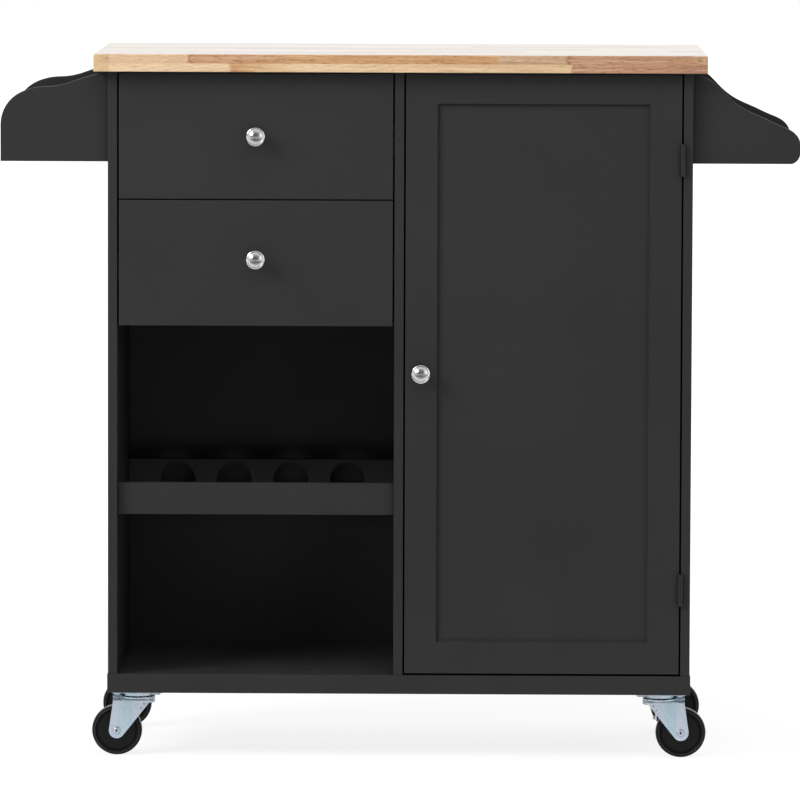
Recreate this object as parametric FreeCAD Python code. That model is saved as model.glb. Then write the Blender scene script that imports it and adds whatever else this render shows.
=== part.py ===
import FreeCAD, Part
import math
import os

from FreeCAD import Placement, Rotation, Vector

# A rolling kitchen island: a painted cabinet with two drawers, a bottle rack and a cupboard,
# under a wooden top, between a spice rack and a towel bar, on four swivel casters.
# Millimetres, X to the right, Y to the back, Z up. The origin is on the floor under the middle.

# Cabinet
body_width = 750.0
body_depth = 350.0
opening_height = 776.8
left_bay_width = 356.0
board = 12.0
edge_ease = 0.7
back_thickness = 3.0
back_inset = 9.0
groove_depth = 5.0
groove_clearance = 0.2
rail_width = 60.0

# Wooden top
top_side_overhang = 17.6
top_front_overhang = 18.0
top_rear_overhang = 32.0
top_thickness = 23.0
top_edge_radius = 1.6

# Base board
base_thickness = 24.5
base_side_step = 1.0

# Drawers and door
front_thickness = 15.0
front_side_gap = 2.2
front_gap = 1.5
drawer_front_height = 161.45
front_to_rail_gap = 1.0
deck_above_front_edge = 1.5
drawer_box_height = 110.0
drawer_back_clearance = 23.0
drawer_side_thickness = 12.0
drawer_bottom_thickness = 3.0
drawer_groove_height = 8.0
drawer_box_above_front_edge = 19.5
lower_knob_raise = 5.3
door_bottom_gap = 2.5
door_stile = 40.5
door_top_rail = 38.0
door_recess_depth = 4.0
door_bevel_width = 2.2
door_knob_inset = 20.2
door_knob_raise = 2.0

# Drawer runners
runner_space = 13.0
runner_height = 35.0
runner_steel = 1.2
runner_clearance = 0.3
runner_set_back = 2.0
runner_screw_shares = (0.12, 0.88)

# Knobs
knob_radius = 12.0
knob_reach = 23.0
knob_foot_radius = 7.0
knob_foot_height = 2.0
knob_neck_radius = 4.6
knob_head_height = 8.5
knob_tip_radius = 1.6
knob_tip_height = 0.5

# Bottle rack
rack_rail_height = 40.8
rack_rail_bottom = 206.3
rack_rail_recess = 10.0
neck_rail_height = 60.0
neck_rail_bottom = 190.3
neck_rail_from_back = 26.0
neck_hole_radius = 23.0
neck_hole_pitch = 75.0
neck_hole_height = 33.0
neck_hole_count = 4

# Cupboard shelf
shelf_height = 372.0
shelf_side_gap = 1.0
shelf_front_recess = 22.0
shelf_back_gap = 2.0
shelf_pin_radius = 2.5
shelf_pin_length = 16.0
shelf_pin_depth = 8.0
shelf_pin_inset = 40.0
shelf_hole_pitch = 64.0
shelf_hole_steps = (-1, 0, 1)

# Side brackets, spice rack and towel bar
bracket_length = 138.4
bracket_height = 116.0
bracket_from_front = 13.0
bracket_from_back = 15.0
spice_top_shares = ((0.0, 0.0), (0.122, 0.039), (0.278, 0.094), (0.40, 0.143), (0.518, 0.170),
                    (0.647, 0.180), (0.76, 0.212), (0.865, 0.275), (0.939, 0.365),
                    (0.988, 0.490), (1.0, 0.60))
towel_top_shares = ((0.0, 0.0), (0.132, 0.060), (0.210, 0.119), (0.347, 0.280), (0.501, 0.410),
                    (0.653, 0.491), (0.80, 0.572), (0.923, 0.641), (0.979, 0.712),
                    (1.0, 0.815), (0.984, 0.935), (0.916, 1.0))
spice_tray_width = 124.0
spice_tray_thickness = 12.0
guard_thickness = 9.0
guard_height = 30.0
guard_above_tray = 28.0
guard_end_inset = 8.0
guard_seat_depth = 4.0
towel_bar_radius = 9.0
towel_bar_inset = 21.0
towel_bar_drop = 93.0
towel_bar_seat = 8.0
wood_clearance = 0.1

# Butt hinges
hinge_length = 40.0
hinge_end_distance = 109.5
leaf_thickness = 1.0
leaf_width = 13.5
knuckle_radius = 3.2
knuckle_face_gap = 0.15
knuckle_count = 5
knuckle_end_gap = 0.15
hinge_pin_radius = 1.5
hinge_pin_cap_radius = 2.6
hinge_pin_cap_height = 0.8
hinge_screw_shares = (0.2, 0.8)

# Magnetic catch
catch_width = 46.0
catch_height = 14.0
catch_depth = 15.0
catch_side_inset = 14.0
strike_width = 38.0
strike_height = 12.0
strike_thickness = 1.2

# Casters
wheel_radius = 32.5
wheel_width = 21.0
wheel_edge_radius = 3.0
wheel_dish_radius = 25.5
wheel_dish_depth = 2.2
wheel_dish_wall = 1.2
wheel_hub_radius = 9.0
wheel_hub_gap = 0.4
caster_trail = 27.0
caster_from_side = 37.0
caster_from_front = 40.0
caster_height = 85.2
plate_length = 66.0
plate_width = 52.0
plate_thickness = 2.5
plate_corner_radius = 5.0
plate_hole_inset = 7.5
race_radius = 22.0
race_lip_radius = 20.5
race_height = 4.8
race_gap = 1.0
cup_radius = 22.3
cup_steel = 2.4
cup_height = 7.9
cup_corner_radius = 0.9
fork_steel = 2.0
fork_shoulder = 32.0
fork_shoulder_rise = 2.7
fork_bend_radius = 7.0
fork_race_clearance = 1.0
fork_diagonal_reach = 14.3
fork_diagonal_start = 0.9
fork_foot_radius = 10.2
kingpin_radius = 5.0
kingpin_head_radius = 8.5
kingpin_head_height = 2.4
running_clearance = 0.05
ball_radius = 2.0
ball_circle_radius = 17.0
ball_count = 12
axle_radius = 3.0
axle_head_radius = 4.6
axle_head_height = 1.4
axle_dimple_radius = 1.5
axle_dimple_depth = 1.2

# Brake lever
brake_width = 15.0
brake_steel = 1.8
brake_pin_radius = 1.8
brake_pin_ahead = 2.7
brake_pin_height = 61.0
brake_eye_radius = 3.4
brake_arm_drop = 11.9
brake_arm_lean = -3.2
brake_toe_reach = 1.35
brake_curl_radius = 1.95

# Screws: shank radius, length, head radius and head height
pan_screw_size = (1.75, 10.0, 3.6, 2.2)
top_screw_size = (2.0, 26.0, 4.2, 2.6)
caster_screw_size = (2.2, 17.0, 4.4, 2.6)
knob_screw_size = (2.0, 22.0, 4.0, 2.4)
base_screw_size = (2.6, 48.0, 4.6, 2.6)
bracket_screw_size = (1.9, 36.0, 3.8, 2.2)
leaf_screw_size = (1.2, 9.0, 2.3, 1.3)
recess_width_share = 0.24
recess_length_share = 1.2
recess_depth_share = 0.6
hole_clearance = 0.05
base_screw_shares = (0.3, 0.7)
bracket_screw_shares = (0.3, 0.8)
rail_screw_shares = (0.15, 0.85)

# One length that every cut runs past the faces it opens
overrun = 2.0

# Levels and planes that follow from the sizes above
base_bottom = caster_height
base_top = base_bottom + base_thickness
top_underside = base_top + opening_height
top_surface = top_underside + top_thickness
front_reach = max(top_front_overhang, knob_reach)
top_width = body_width + 2 * top_side_overhang
top_depth = top_front_overhang + body_depth + top_rear_overhang
overall_depth = front_reach + body_depth + top_rear_overhang
face_y = front_reach - overall_depth / 2
body_back = face_y + body_depth
back_face = body_back - back_inset
back_inner = back_face - back_thickness
side_outer = body_width / 2
side_inner = side_outer - board
divider_left = left_bay_width - side_inner
divider_right = divider_left + board
front_back = face_y + front_thickness
rail_front = front_back + front_to_rail_gap
drawer_box_depth = back_inner - drawer_back_clearance - front_back
runner_length = drawer_box_depth
lower_front_bottom = top_underside - 2 * (front_gap + drawer_front_height)
upper_front_bottom = top_underside - front_gap - drawer_front_height
deck_bottom = lower_front_bottom + deck_above_front_edge
bay_middle = (divider_left - side_inner) / 2
bracket_bottom = top_underside - bracket_height
bracket_front = face_y + bracket_from_front
bracket_rear = body_back - bracket_from_back - board
door_left = divider_right + front_side_gap
door_right = side_inner - front_side_gap
door_bottom = base_top + door_bottom_gap
door_top = top_underside - front_gap
hinge_x = side_inner - front_side_gap / 2
hinge_y = face_y - knuckle_radius - knuckle_face_gap
hinge_bottoms = (door_bottom + hinge_end_distance - hinge_length / 2,
                 door_top - hinge_end_distance - hinge_length / 2)
caster_x = side_outer - caster_from_side
caster_front_y = face_y + caster_from_front
caster_rear_y = body_back - caster_from_front
plate_bottom = base_bottom - plate_thickness
race_bottom = plate_bottom - race_height
cup_top = race_bottom - race_gap
cup_underside = cup_top - cup_steel
crown_underside = cup_top - cup_height
leg_inner = wheel_width / 2 + wheel_hub_gap


def block(x0, x1, y0, y1, z0, z1):
    """A box between three pairs of planes."""
    return Part.makeBox(x1 - x0, y1 - y0, z1 - z0, Vector(x0, y0, z0))


def eased(shape, radius=edge_ease):
    """The shape with all its edges rounded a little."""
    return shape.makeFillet(radius, shape.Edges)


def rod(start, direction, radius, length):
    """A cylinder from a point along a direction."""
    return Part.makeCylinder(radius, length, start, direction)


def along(shape, seat, direction):
    """The shape, made at the origin along +Z, set on its seat along a direction."""
    placed = shape.copy()
    placed.Placement = Placement(seat, Rotation(Vector(0, 0, 1), direction))
    return placed


def turned(profile, seat, direction):
    """A solid of revolution from (radius, height) points, set on its seat."""
    wire = Part.makePolygon([Vector(r, 0, h) for r, h in profile + profile[:1]])
    solid = Part.Face(wire).revolve(Vector(0, 0, 0), Vector(0, 0, 1), 360)
    return along(solid, seat, direction)


def cross_recess(head_radius, head_height):
    """The cutter for the cross in a screw's head, at the origin, opening towards -Z."""
    half_width = head_radius * recess_width_share / 2
    half_length = head_radius * recess_length_share / 2
    depth = head_height * recess_depth_share
    arm = block(-half_length, half_length, -half_width, half_width, -overrun, depth)
    other = block(-half_width, half_width, -half_length, half_length, -overrun, depth)
    return arm.fuse(other)


def pan_screw(size, seat, direction):
    """A domed screw whose head sits on the seat, with its shank along the direction."""
    shank_radius, length, head_radius, head_height = size
    head = Part.makeCylinder(head_radius, head_height, Vector(0, 0, -head_height))
    rim = [edge for edge in head.Edges
           if edge.Closed and abs(edge.CenterOfMass.z + head_height) < head_height / 4]
    head = head.makeFillet(head_height * recess_depth_share, rim)
    shank = Part.makeCylinder(shank_radius, length - shank_radius)
    point = Part.makeCone(shank_radius, 0, shank_radius, Vector(0, 0, length - shank_radius))
    cutter = cross_recess(head_radius, head_height)
    cutter.translate(Vector(0, 0, -head_height))
    screw = head.fuse(shank).fuse(point).cut(cutter).removeSplitter()
    return along(screw, seat, direction)


def flat_screw(size, seat, direction):
    """A countersunk screw whose head is flush with the seat."""
    shank_radius, length, head_radius, head_height = size
    head = Part.makeCone(head_radius, shank_radius, head_height)
    shank = Part.makeCylinder(shank_radius, length - shank_radius)
    point = Part.makeCone(shank_radius, 0, shank_radius, Vector(0, 0, length - shank_radius))
    cutter = cross_recess(head_radius, head_height)
    screw = head.fuse(shank).fuse(point).cut(cutter).removeSplitter()
    return along(screw, seat, direction)


def screw_hole(size, seat, direction, through=0.0):
    """The hole that a screw's shank needs, starting some way before its seat."""
    shank_radius, length = size[0] + hole_clearance, size[1] + hole_clearance
    return rod(seat - direction * through, direction, shank_radius, length + through)


def flat_screw_hole(size, seat, direction):
    """The hole and countersink for a flat screw."""
    wide = size[2] + hole_clearance
    narrow = size[0] + hole_clearance
    sink = Part.makeCone(wide, narrow, size[3])
    mouth = Part.makeCylinder(wide, overrun, Vector(0, 0, -overrun))
    shank = Part.makeCylinder(narrow, size[1] + hole_clearance)
    return along(sink.fuse(mouth).fuse(shank), seat, direction)


def drilled(shape, cutters):
    """The shape less a list of cutters."""
    return shape.cut(Part.makeCompound(cutters)) if cutters else shape


left, right, front, back, up, down = (Vector(-1, 0, 0), Vector(1, 0, 0), Vector(0, -1, 0),
                                      Vector(0, 1, 0), Vector(0, 0, 1), Vector(0, 0, -1))


# Places of the fasteners, each written once for the boards, the holes and the screws

def drawer_box_bottoms():
    """The undersides of the lower and the upper drawer box."""
    return [level + drawer_box_above_front_edge for level in (lower_front_bottom, upper_front_bottom)]


def runner_seats(drawer_side):
    """Where the runner screws sit on one wall of the bay, or on one side of the drawers."""
    seats = []
    for bottom in drawer_box_bottoms():
        for share in runner_screw_shares:
            y = front_back + runner_set_back + share * runner_length
            z = bottom + drawer_box_height / 2
            seats.append((y, z))
    half = len(runner_screw_shares)
    return seats if drawer_side is None else seats[drawer_side * half:(drawer_side + 1) * half]


def bracket_screw_seats(side):
    """The bracket screws' seats on the inner face of a side panel."""
    seats = []
    for y in (bracket_front + board / 2, bracket_rear + board / 2):
        for share in bracket_screw_shares:
            z = top_underside - share * bracket_height
            seats.append(Vector(side * side_inner, y, z))
    return seats


def base_screw_seats():
    """The screws that come up through the base into the upright boards."""
    seats = []
    middles = (-side_outer + board / 2, divider_left + board / 2, side_outer - board / 2)
    for x in middles:
        for share in base_screw_shares:
            seats.append(Vector(x, face_y + share * body_depth, base_bottom))
    return seats


def caster_places():
    """Name, side and middle of each caster."""
    return [("front_left", -1, -caster_x, caster_front_y),
            ("front_right", 1, caster_x, caster_front_y),
            ("rear_left", -1, -caster_x, caster_rear_y),
            ("rear_right", 1, caster_x, caster_rear_y)]


def caster_screw_seats():
    """The four screws under each caster plate."""
    along_x = plate_length / 2 - plate_hole_inset
    along_y = plate_width / 2 - plate_hole_inset
    return [Vector(x + sx * along_x, y + sy * along_y, plate_bottom)
            for name, side, x, y in caster_places() for sx in (-1, 1) for sy in (-1, 1)]


def leaf_screw_places():
    """The y and z of the hinge screws."""
    y = face_y + leaf_width / 2
    return [(y, bottom + share * hinge_length)
            for bottom in hinge_bottoms for share in hinge_screw_shares]


def rail_spans():
    """The bays that the top rails cross, and where the rails lie from front to back."""
    bays = ((-side_inner, divider_left), (divider_right, side_inner))
    depths = ((rail_front, rail_front + rail_width), (back_inner - rail_width, back_inner))
    return [(x0, x1, y0, y1) for x0, x1 in bays for y0, y1 in depths]


def rail_screw_seats():
    """The screws that hold the wooden top down to the rails."""
    return [Vector(x0 + share * (x1 - x0), (y0 + y1) / 2, top_underside - board)
            for x0, x1, y0, y1 in rail_spans() for share in rail_screw_shares]


def shelf_pin_places(steps):
    """The y and z of the shelf pins' middles, at some steps of the row of holes."""
    shelf_front = face_y + shelf_front_recess
    shelf_back = back_inner - shelf_back_gap
    level = base_top + shelf_height - shelf_pin_radius
    return [(y, level + step * shelf_hole_pitch)
            for y in (shelf_front + shelf_pin_inset, shelf_back - shelf_pin_inset)
            for step in steps]


def knob_places():
    """The middle of each knob on the fronts."""
    middle = drawer_front_height / 2
    return {"upper_drawer": Vector(bay_middle, face_y, upper_front_bottom + middle),
            "lower_drawer": Vector(bay_middle, face_y, lower_front_bottom + middle + lower_knob_raise),
            "door": Vector(door_left + door_knob_inset, face_y,
                           (door_bottom + door_top) / 2 + door_knob_raise)}


# The cabinet's boards

def worktop():
    front_edge = face_y - top_front_overhang
    top = block(-top_width / 2, top_width / 2, front_edge, front_edge + top_depth,
                top_underside, top_surface)
    top = eased(top, top_edge_radius)
    return drilled(top, [screw_hole(top_screw_size, seat, up) for seat in rail_screw_seats()])


def back_groove(x0, x1, z0, z1):
    """The slot that takes the back panel's edge."""
    return block(x0, x1, back_inner - groove_clearance / 2, back_face + groove_clearance / 2, z0, z1)


def side_panel(side):
    x0, x1 = sorted((side * side_inner, side * side_outer))
    panel = eased(block(x0, x1, face_y, body_back, base_top, top_underside))
    groove_x = sorted((side * (side_inner + groove_depth), side * (side_inner - overrun)))
    inward, outward = Vector(-side, 0, 0), Vector(side, 0, 0)
    cutters = [back_groove(groove_x[0], groove_x[1], base_top - overrun, top_underside + overrun)]
    cutters += [flat_screw_hole(bracket_screw_size, seat, outward) for seat in bracket_screw_seats(side)]
    cutters += [screw_hole(base_screw_size, seat, up) for seat in base_screw_seats()]
    if side < 0:
        cutters += [screw_hole(pan_screw_size, Vector(-side_inner + runner_steel, y, z), outward)
                    for y, z in runner_seats(None)]
    else:
        cutters += [rod(Vector(side_inner - overrun, y, z), outward, shelf_pin_radius + hole_clearance,
                        shelf_pin_depth + overrun) for y, z in shelf_pin_places(shelf_hole_steps)]
        cutters += [flat_screw_hole(leaf_screw_size, Vector(side_inner - leaf_thickness, y, z), outward)
                    for y, z in leaf_screw_places()]
    return drilled(panel, cutters)


def divider_panel():
    panel = eased(block(divider_left, divider_right, face_y, back_inner, base_top, top_underside))
    cutters = [screw_hole(base_screw_size, seat, up) for seat in base_screw_seats()]
    cutters += [screw_hole(pan_screw_size, Vector(divider_left - runner_steel, y, z), right)
                for y, z in runner_seats(None)]
    cutters += [rod(Vector(divider_right + overrun, y, z), left, shelf_pin_radius + hole_clearance,
                    shelf_pin_depth + overrun) for y, z in shelf_pin_places(shelf_hole_steps)]
    return drilled(panel, cutters)


def bottom_board():
    half = side_outer + base_side_step
    base = eased(block(-half, half, face_y, body_back, base_bottom, base_top))
    reach = side_inner + groove_depth
    cutters = [back_groove(-reach, reach, base_top - groove_depth, base_top + overrun)]
    cutters += [flat_screw_hole(base_screw_size, seat, up) for seat in base_screw_seats()]
    cutters += [screw_hole(caster_screw_size, seat, up) for seat in caster_screw_seats()]
    return drilled(base, cutters)


def back_panel():
    reach = side_inner + groove_depth - groove_clearance
    return block(-reach, reach, back_inner, back_face,
                 base_top - groove_depth + groove_clearance, top_underside)


def top_rails():
    rails = []
    for x0, x1, y0, y1 in rail_spans():
        rail = block(x0, x1, y0, y1, top_underside - board, top_underside)
        rails.append(drilled(rail, [screw_hole(top_screw_size, seat, up, overrun)
                                    for seat in rail_screw_seats()]))
    return rails


def drawer_deck():
    return eased(block(-side_inner, divider_left, rail_front, back_inner,
                       deck_bottom, deck_bottom + board))


def rack_front_rail():
    y0 = face_y + rack_rail_recess
    z0 = base_top + rack_rail_bottom
    return eased(block(-side_inner, divider_left, y0, y0 + board, z0, z0 + rack_rail_height))


def rack_neck_rail():
    """The board at the back of the rack, with a round hole for each bottle's neck."""
    y0 = back_inner - neck_rail_from_back - board
    z0 = base_top + neck_rail_bottom
    rail = eased(block(-side_inner, divider_left, y0, y0 + board, z0, z0 + neck_rail_height))
    first = bay_middle - (neck_hole_count - 1) * neck_hole_pitch / 2
    holes = [rod(Vector(first + i * neck_hole_pitch, y0 - overrun, z0 + neck_hole_height),
                 back, neck_hole_radius, board + 2 * overrun) for i in range(neck_hole_count)]
    return drilled(rail, holes)


def cupboard_shelf():
    z0 = base_top + shelf_height
    return eased(block(divider_right + shelf_side_gap, side_inner - shelf_side_gap,
                       face_y + shelf_front_recess, back_inner - shelf_back_gap, z0, z0 + board))


def shelf_pins():
    pins = []
    for y, z in shelf_pin_places((0,)):
        pins.append(rod(Vector(divider_right - shelf_pin_depth, y, z), right,
                        shelf_pin_radius, shelf_pin_length))
        pins.append(rod(Vector(side_inner + shelf_pin_depth, y, z), left,
                        shelf_pin_radius, shelf_pin_length))
    return pins


# The wings on both sides

def bracket_board(side, y0, shares):
    """A shaped board against a side panel. Its top edge is a smooth curve through shares of
    its length and height, measured from its upper corner at the cabinet."""
    curve_points = [Vector(side * (side_outer + sx * bracket_length), y0,
                           top_underside - sz * bracket_height) for sx, sz in shares]
    curve = Part.BSplineCurve()
    curve.interpolate(curve_points)
    inner_foot = Vector(side * side_outer, y0, bracket_bottom)
    outline = [curve.toShape()]
    last = curve_points[-1]
    if last.z > bracket_bottom:
        outer_foot = Vector(last.x, y0, bracket_bottom)
        outline.append(Part.makeLine(last, outer_foot))
        last = outer_foot
    outline.append(Part.makeLine(last, inner_foot))
    outline.append(Part.makeLine(inner_foot, curve_points[0]))
    slab = Part.Face(Part.Wire(Part.__sortEdges__(outline))).extrude(Vector(0, board, 0))
    rims = [edge for edge in slab.Edges
            if abs(edge.BoundBox.YLength) < board / 2
            and not (edge.BoundBox.XLength < edge_ease
                     and abs(edge.BoundBox.XMin - side * side_outer) < board)]
    return slab.makeFillet(edge_ease, rims)


def bracket_holes(side):
    """The screw holes that come through the side panel into the brackets."""
    outward = Vector(side, 0, 0)
    return [screw_hole(bracket_screw_size, seat, outward) for seat in bracket_screw_seats(side)]


def guard_limits():
    """The guard rail's faces across the rack and its levels."""
    outer = side_outer + bracket_length - guard_end_inset
    low = bracket_bottom + spice_tray_thickness + guard_above_tray
    return outer - guard_thickness, outer, low, low + guard_height


def spice_bracket(y0, inner_is_back):
    slab = bracket_board(-1, y0, spice_top_shares)
    x0, x1, z0, z1 = guard_limits()
    c = wood_clearance
    face = y0 + board if inner_is_back else y0
    y_near, y_far = sorted((face + (overrun if inner_is_back else -overrun),
                            face + (-1 if inner_is_back else 1) * (guard_seat_depth + c)))
    slot = block(-x1 - c, -x0 + c, y_near, y_far, z0 - c, z1 + c)
    return drilled(slab, bracket_holes(-1) + [slot])


def spice_tray():
    z0 = bracket_bottom
    return eased(block(-side_outer - spice_tray_width, -side_outer, bracket_front + board,
                       bracket_rear, z0, z0 + spice_tray_thickness))


def spice_guard_rail():
    x0, x1, z0, z1 = guard_limits()
    return eased(block(-x1, -x0, bracket_front + board - guard_seat_depth,
                       bracket_rear + guard_seat_depth, z0, z1))


def towel_bar_start():
    return Vector(side_outer + bracket_length - towel_bar_inset,
                  bracket_front + board - towel_bar_seat, top_underside - towel_bar_drop)


def towel_bar_length():
    return bracket_rear - bracket_front - board + 2 * towel_bar_seat


def towel_bracket(y0):
    slab = bracket_board(1, y0, towel_top_shares)
    start = towel_bar_start() - back * wood_clearance
    seat = rod(start, back, towel_bar_radius + wood_clearance,
               towel_bar_length() + 2 * wood_clearance)
    return drilled(slab, bracket_holes(1) + [seat])


def towel_bar():
    return rod(towel_bar_start(), back, towel_bar_radius, towel_bar_length())


# Drawers

def drawer_side_faces():
    """The outer faces of the drawer box's left and right sides."""
    return -side_inner + runner_space, divider_left - runner_space


def drawer_front(bottom, index, knob):
    z_box = drawer_box_bottoms()[index]
    x0, x1 = drawer_side_faces()
    panel = eased(block(-side_inner + front_side_gap, divider_left - front_side_gap,
                        face_y, front_back, bottom, bottom + drawer_front_height))
    reach = groove_depth - groove_clearance
    z_groove = z_box + drawer_groove_height
    slot = block(x0 + drawer_side_thickness - reach, x1 - drawer_side_thickness + reach,
                 front_back - groove_depth, front_back + overrun,
                 z_groove - groove_clearance / 2, z_groove + drawer_bottom_thickness + groove_clearance / 2)
    hole = rod(knob - back * overrun, back, knob_screw_size[0] + hole_clearance,
               front_thickness + 2 * overrun)
    return drilled(panel, [slot, hole])


def drawer_sides(index):
    z0 = drawer_box_bottoms()[index]
    z_groove = z0 + drawer_groove_height
    sides = []
    for outer, inward in zip(drawer_side_faces(), (1, -1)):
        inner = outer + inward * drawer_side_thickness
        x0, x1 = sorted((outer, inner))
        side = block(x0, x1, front_back, front_back + drawer_box_depth, z0, z0 + drawer_box_height)
        side = eased(side)
        g0, g1 = sorted((inner - inward * groove_depth, inner + inward * overrun))
        slot = block(g0, g1, front_back - overrun, front_back + drawer_box_depth + overrun,
                     z_groove - groove_clearance / 2,
                     z_groove + drawer_bottom_thickness + groove_clearance / 2)
        direction = Vector(inward, 0, 0)
        holes = [screw_hole(pan_screw_size, Vector(outer - inward * runner_steel, y, z), direction)
                 for y, z in runner_seats(index)]
        sides.append(drilled(side, [slot] + holes))
    return sides


def drawer_back(index):
    x0, x1 = drawer_side_faces()
    y1 = front_back + drawer_box_depth
    z0 = drawer_box_bottoms()[index]
    lower = z0 + drawer_groove_height + drawer_bottom_thickness
    return eased(block(x0 + drawer_side_thickness, x1 - drawer_side_thickness,
                       y1 - drawer_side_thickness, y1, lower, z0 + drawer_box_height))


def drawer_bottom(index):
    x0, x1 = drawer_side_faces()
    reach = groove_depth - groove_clearance
    z0 = drawer_box_bottoms()[index] + drawer_groove_height
    return block(x0 + drawer_side_thickness - reach, x1 - drawer_side_thickness + reach,
                 front_back - reach, front_back + drawer_box_depth, z0, z0 + drawer_bottom_thickness)


def channel(x_web, inward, depth, height, y0, z_middle):
    """A steel channel: a web on the plane x_web and two flanges towards its open side."""
    outer = sorted((x_web, x_web + inward * depth))
    hollow = sorted((x_web + inward * runner_steel, x_web + inward * (depth + overrun)))
    body = block(outer[0], outer[1], y0, y0 + runner_length,
                 z_middle - height / 2, z_middle + height / 2)
    half = height / 2 - runner_steel
    return body.cut(block(hollow[0], hollow[1], y0 - overrun, y0 + runner_length + overrun,
                          z_middle - half, z_middle + half))


def runner_pair(index, inner_member):
    """The two channels of one drawer: on the cabinet, or nested in those on the drawer."""
    y0 = front_back + runner_set_back
    z_middle = drawer_box_bottoms()[index] + drawer_box_height / 2
    depth = runner_space - runner_steel - runner_clearance
    holes = [rod(Vector(-side_inner - overrun, y, z), right,
                 pan_screw_size[0] + hole_clearance, left_bay_width + 2 * overrun)
             for y, z in runner_seats(index)]
    channels = []
    for wall, inward in ((-side_inner, 1), (divider_left, -1)):
        if inner_member:
            height = runner_height - 2 * (runner_steel + runner_clearance)
            member = channel(wall + inward * runner_space, -inward, depth, height, y0, z_middle)
        else:
            member = channel(wall, inward, depth, runner_height, y0, z_middle)
        channels.append(drilled(member, holes))
    return channels


def knob(place):
    """A turned metal knob: a foot, a neck and a shallow cone of a head with a rounded rim."""
    head_start = knob_reach - knob_head_height
    rim = knob_radius - edge_ease
    profile = [(0.0, 0.0), (knob_foot_radius, 0.0), (knob_foot_radius, knob_foot_height),
               (knob_neck_radius, knob_foot_height + edge_ease),
               (knob_neck_radius, head_start - knob_foot_height),
               (rim, head_start), (knob_radius, head_start + edge_ease),
               (knob_radius, head_start + knob_head_height / 2),
               (rim, head_start + knob_head_height / 2 + edge_ease),
               (knob_tip_radius, knob_reach - knob_tip_height), (0.0, knob_reach)]
    body = turned(profile, Vector(0, 0, 0), up)
    corners = [edge for edge in body.Edges if edge.Closed
               and abs(edge.BoundBox.XLength / 2 - knob_radius) < edge_ease / 4]
    body = body.makeFillet(edge_ease, corners) if corners else body
    thread = Part.makeCylinder(knob_screw_size[0] + hole_clearance,
                               knob_screw_size[1] - front_thickness + 2 * hole_clearance)
    return along(body.cut(thread), place, front)


def knob_screw(place):
    return pan_screw(knob_screw_size, place + back * front_thickness, front)


def drawer_screws(index, knob_place):
    screws = [knob_screw(knob_place)]
    for outer, inward in zip(drawer_side_faces(), (1, -1)):
        for y, z in runner_seats(index):
            screws.append(pan_screw(pan_screw_size, Vector(outer - inward * runner_steel, y, z),
                                    Vector(inward, 0, 0)))
    return screws


# Door, hinges and catch

def door_panel():
    """A board with a shallow recessed field whose sides slope down to it."""
    panel = eased(block(door_left, door_right, face_y, front_back, door_bottom, door_top))
    x0, x1 = door_left + door_stile, door_right - door_stile
    z0, z1 = door_bottom + door_stile, door_top - door_top_rail
    rings = []
    for y, grow in ((face_y, 0.0), (face_y + door_recess_depth, door_bevel_width)):
        corners = ((x0 + grow, z0 + grow), (x1 - grow, z0 + grow),
                   (x1 - grow, z1 - grow), (x0 + grow, z1 - grow))
        rings.append(Part.makePolygon([Vector(x, y, z) for x, z in corners + corners[:1]]))
    recess = Part.makeLoft(rings, True, True)
    place = knob_places()["door"]
    cutters = [recess, rod(place - back * overrun, back, knob_screw_size[0] + hole_clearance,
                           front_thickness + 2 * overrun)]
    cutters += [flat_screw_hole(leaf_screw_size, Vector(door_right + leaf_thickness, y, z), left)
                for y, z in leaf_screw_places()]
    return drilled(panel, cutters)


def hinge_leaf(bottom, side):
    """A hinge leaf with its share of the knuckles: on the side panel (1) or on the door (-1)."""
    x_outer = side_inner if side > 0 else door_right
    x0, x1 = sorted((x_outer, x_outer - side * leaf_thickness))
    leaf = block(x0, x1, hinge_y, face_y + leaf_width, bottom, bottom + hinge_length)
    step = hinge_length / knuckle_count
    shape = leaf
    for i in range(knuckle_count):
        z0 = bottom + i * step
        if (i % 2 == 0) == (side > 0):
            shape = shape.fuse(rod(Vector(hinge_x, hinge_y, z0), up, knuckle_radius, step))
    keep_out = knuckle_radius + knuckle_face_gap
    for i in range(knuckle_count):
        if (i % 2 == 0) != (side > 0):
            z0 = bottom + i * step - (knuckle_end_gap if i else overrun)
            z1 = bottom + (i + 1) * step + (knuckle_end_gap if i < knuckle_count - 1 else overrun)
            shape = shape.cut(rod(Vector(hinge_x, hinge_y, z0), up, keep_out, z1 - z0))
    bore = rod(Vector(hinge_x, hinge_y, bottom - overrun), up,
               hinge_pin_radius + running_clearance, hinge_length + 2 * overrun)
    holes = [flat_screw_hole(leaf_screw_size, Vector(side_inner - leaf_thickness, y, z), right)
             if side > 0 else
             flat_screw_hole(leaf_screw_size, Vector(door_right + leaf_thickness, y, z), left)
             for y, z in leaf_screw_places()]
    return drilled(shape.removeSplitter(), [bore] + holes)


def hinge_pin(bottom):
    """The pin through the knuckles, with a small cap at each end."""
    pin = rod(Vector(hinge_x, hinge_y, bottom), up, hinge_pin_radius, hinge_length)
    low_cap = rod(Vector(hinge_x, hinge_y, bottom), down, hinge_pin_cap_radius, hinge_pin_cap_height)
    high_cap = rod(Vector(hinge_x, hinge_y, bottom + hinge_length), up,
                   hinge_pin_cap_radius, hinge_pin_cap_height)
    return pin.fuse(low_cap).fuse(high_cap).removeSplitter()


def strike_limits():
    x0 = door_left + catch_side_inset + (catch_width - strike_width) / 2
    z1 = top_underside - board - (catch_height - strike_height) / 2
    return x0, x0 + strike_width, z1 - strike_height, z1


def catch_plate():
    x0, x1, z0, z1 = strike_limits()
    return block(x0, x1, front_back, front_back + strike_thickness, z0, z1)


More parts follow.
